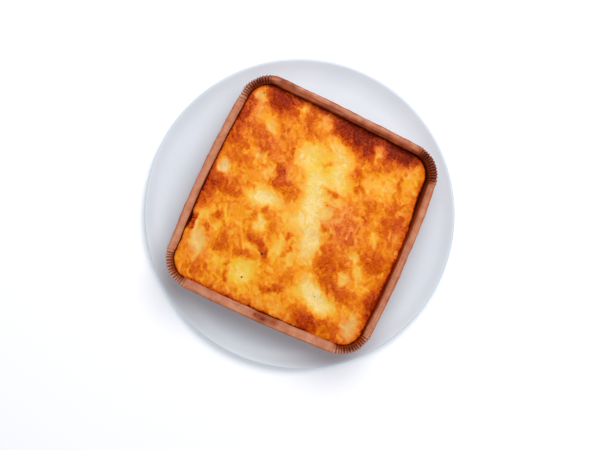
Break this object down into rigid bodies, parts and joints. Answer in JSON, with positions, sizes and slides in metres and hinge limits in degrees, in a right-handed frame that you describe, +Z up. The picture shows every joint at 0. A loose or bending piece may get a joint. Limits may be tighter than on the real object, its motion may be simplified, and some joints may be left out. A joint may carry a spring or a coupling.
{
  "type": "baked lasagne in a square paper tray on a plate",
  "caption": "Square lasagne with a browned cheese top, baked and served in its brown paper tray with a rolled, corner-pleated rim, on a round white plate.",
  "frame": {"origin": "middle of the plate's foot ring, on the surface that it stands on", "axes": "+Z up; +X and +Y along the tray's sides, with +Y towards the side whose inner wall shows most and +X towards the side where the cheese has drawn in"},
  "size_m": [0.24, 0.24, 0.0473],
  "materials": {
    "plate_glaze": "gloss",
    "tray_paper": "matte",
    "baked_cheese": "satin"
  },
  "bodies": {
    "root": {"plate": "plate_glaze", "baking_tray": "tray_paper", "lasagne": "baked_cheese"}
  },
  "joints": []
}
